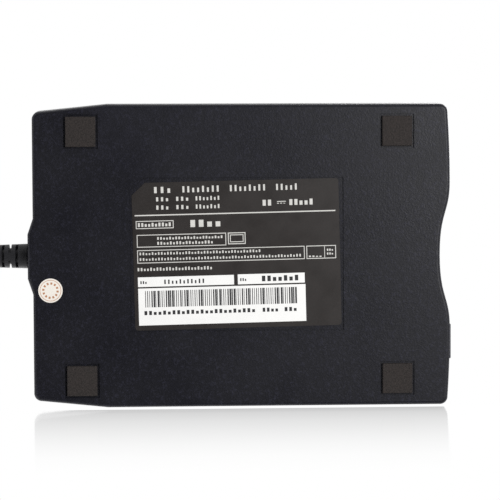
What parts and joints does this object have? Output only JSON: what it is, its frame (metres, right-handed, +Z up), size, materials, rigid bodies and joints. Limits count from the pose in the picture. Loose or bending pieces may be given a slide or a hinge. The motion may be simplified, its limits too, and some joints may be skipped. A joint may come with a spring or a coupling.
{
  "type": "external floppy disk drive",
  "caption": "Slim portable disk drive with a wave-shaped front, sprung slot flap, eject slide, disk loading mechanism and captive cable.",
  "frame": {"origin": "on the surface it stands on, under the middle of the case without its cable", "axes": "+Z up, -Y out of the disk slot, +Y out of the cable end, +X towards the eject button's side"},
  "size_m": [0.104, 0.2673, 0.0184],
  "materials": {
    "case_plastic": "fine matt texture",
    "bezel_plastic": "fine matt texture",
    "button_plastic": "satin",
    "foot_rubber": "matt rubber",
    "label_film": "satin printed film",
    "sticker_paper": "coated paper",
    "clear_lens": "polished",
    "lamp_green": "diffused",
    "zinc_steel": "zinc plated sheet",
    "bright_steel": "bright",
    "spring_steel": "drawn wire",
    "board_green": "solder mask",
    "copper_wire": "enamelled copper",
    "brass_metal": "sintered",
    "white_plastic": "moulded",
    "head_ceramic": "polished ceramic",
    "chip_black": "moulded epoxy",
    "lead_colour": "insulation",
    "cable_rubber": "matt flexible vinyl",
    "plug_plastic": "matt flexible vinyl",
    "gold_metal": "gold plated"
  },
  "bodies": {
    "case": {"bottom_cover": "case_plastic", "top_cover": "case_plastic", "rubber_feet": "foot_rubber", "label": "label_film", "round_sticker": "sticker_paper", "module_screws": "zinc_steel", "front_bezel": "bezel_plastic", "door_pin": "bright_steel", "light_pipe": "clear_lens", "lamp": "lamp_green", "drive_chassis": "zinc_steel", "chassis_lid": "zinc_steel", "slide_springs": "spring_steel", "spring_hooks": "zinc_steel", "latch_post": "bright_steel", "motor_board": "board_green", "stator_coils": "copper_wire", "spindle_bearing": "brass_metal", "guide_rod": "bright_steel", "rod_clamp": "zinc_steel", "screw_bracket": "zinc_steel", "stepper_motor": "zinc_steel", "drive_board": "board_green", "drive_board_parts": "chip_black", "switch_bodies": "chip_black", "interface_board": "board_green", "interface_parts": "chip_black", "crystal_can": "bright_steel", "cable_socket": "white_plastic", "inner_leads": "lead_colour", "flat_cable": "white_plastic", "strain_relief": "cable_rubber", "cable_tube": "cable_rubber", "cable_coil": "cable_rubber", "plug_overmould": "plug_plastic", "plug_shell": "bright_steel", "plug_tongue": "white_plastic", "plug_contacts": "gold_metal"},
    "slide": {"slide_plate": "bright_steel", "eject_button": "button_plastic"},
    "carrier": {"disk_carrier": "bright_steel", "carrier_pins": "bright_steel"},
    "latch": {"latch_lever": "white_plastic"},
    "spindle": {"spindle_rotor": "bright_steel", "spindle_hub": "bright_steel", "drive_pin": "bright_steel"},
    "screw": {"lead_screw": "bright_steel"},
    "sled": {"head_carriage": "white_plastic", "lower_head": "head_ceramic", "arm_pivot": "bright_steel"},
    "head_arm": {"upper_head_arm": "bright_steel", "upper_head": "head_ceramic"},
    "flap": {"door_flap": "bezel_plastic"},
    "disk_switch": {"disk_in_plunger": "white_plastic"},
    "protect_switch": {"write_protect_plunger": "white_plastic"}
  },
  "joints": [
    {"name": "slide_travel", "type": "slide", "parent": "case", "child": "slide", "axis": [0, -1, 0], "range_m": [0, 0.0055], "deforming": ["slide_springs"]},
    {"name": "carrier_drop", "type": "slide", "parent": "case", "child": "carrier", "axis": [0, 0, -1], "range_m": [0, 0.0024]},
    {"name": "latch_turn", "type": "hinge", "parent": "case", "child": "latch", "pos_m": [-0.034, 0.0389, 0.007], "axis": [0, 0, 1], "range_deg": [0, 40]},
    {"name": "spindle_turn", "type": "hinge", "parent": "case", "child": "spindle", "pos_m": [0, -0.0171, 0.0052], "axis": [0, 0, 1], "continuous": true},
    {"name": "screw_turn", "type": "hinge", "parent": "case", "child": "screw", "pos_m": [-0.013, 0.0438, 0.0081], "axis": [0, 1, 0], "range_deg": [0, 1420.8]},
    {"name": "sled_travel", "type": "slide", "parent": "case", "child": "sled", "axis": [0, -1, 0], "range_m": [0, 0.0148]},
    {"name": "head_arm_turn", "type": "hinge", "parent": "sled", "child": "head_arm", "pos_m": [0, 0.0492, 0.01345], "axis": [1, 0, 0], "range_deg": [0, 9]},
    {"name": "flap_turn", "type": "hinge", "parent": "case", "child": "flap", "pos_m": [0, -0.06565, 0.01545], "axis": [1, 0, 0], "range_deg": [0, 80], "stiffness_Nm_per_rad": 0.0004, "springref_deg": -17.19},
    {"name": "disk_switch_press", "type": "slide", "parent": "case", "child": "disk_switch", "axis": [0, 0, -1], "range_m": [0, 0.0009], "stiffness_N_per_m": 150, "springref_m": -0.0003},
    {"name": "protect_switch_press", "type": "slide", "parent": "case", "child": "protect_switch", "axis": [0, 0, -1], "range_m": [0, 0.0009], "stiffness_N_per_m": 150, "springref_m": -0.0003}
  ],
  "couplings": [
    {"joint": "carrier_drop", "follows": "slide_travel", "ratio": 0.43636},
    {"joint": "latch_turn", "follows": "slide_travel", "rad_per_m": 126.93},
    {"joint": "head_arm_turn", "follows": "slide_travel", "rad_per_m": 28.56},
    {"joint": "screw_turn", "follows": "sled_travel", "rad_per_m": 1675.5}
  ]
}
